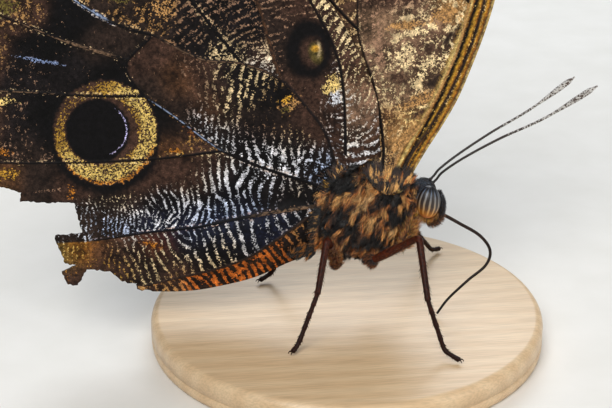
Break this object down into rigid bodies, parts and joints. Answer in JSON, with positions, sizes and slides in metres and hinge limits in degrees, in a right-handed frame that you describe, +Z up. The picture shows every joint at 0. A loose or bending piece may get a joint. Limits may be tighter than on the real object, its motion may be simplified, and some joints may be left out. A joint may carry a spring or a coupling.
{
  "type": "owl butterfly model",
  "caption": "Life-size still model of an owl butterfly feeding with closed wings, with eyespots on the hindwings and raised veins, standing on a plain round wooden base",
  "frame": {"origin": "middle of the round base's flat underside, on the floor", "axes": "+X points forward along the body, to the head; +Y points to the butterfly's left; +Z points up from the base's underside"},
  "size_m": [0.0941, 0.062, 0.0957],
  "materials": {
    "base_wood": "turned pale wood, satin, with fine grain",
    "body_fur": "dense matte fur, dark brown with gold and orange tufts",
    "wing_membrane": "matte scales, dark brown with white zebra striations and large eyespots",
    "eye_shell": "glossy compound eye with dark curved bands over grey and amber",
    "limb_shell": "dark brown horn, satin"
  },
  "bodies": {
    "root": {"abdomen": "body_fur", "antenna_left": "limb_shell", "antenna_right": "limb_shell", "eye_left": "eye_shell", "eye_right": "eye_shell", "foreleg_left": "body_fur", "foreleg_right": "body_fur", "forewing_left": "wing_membrane", "forewing_right": "wing_membrane", "head": "body_fur", "hindleg_left": "limb_shell", "hindleg_right": "limb_shell", "hindwing_left": "wing_membrane", "hindwing_right": "wing_membrane", "midleg_left": "limb_shell", "midleg_right": "limb_shell", "palp_left": "body_fur", "palp_right": "body_fur", "proboscis": "limb_shell", "stand_base": "base_wood", "thorax": "body_fur"}
  },
  "joints": []
}
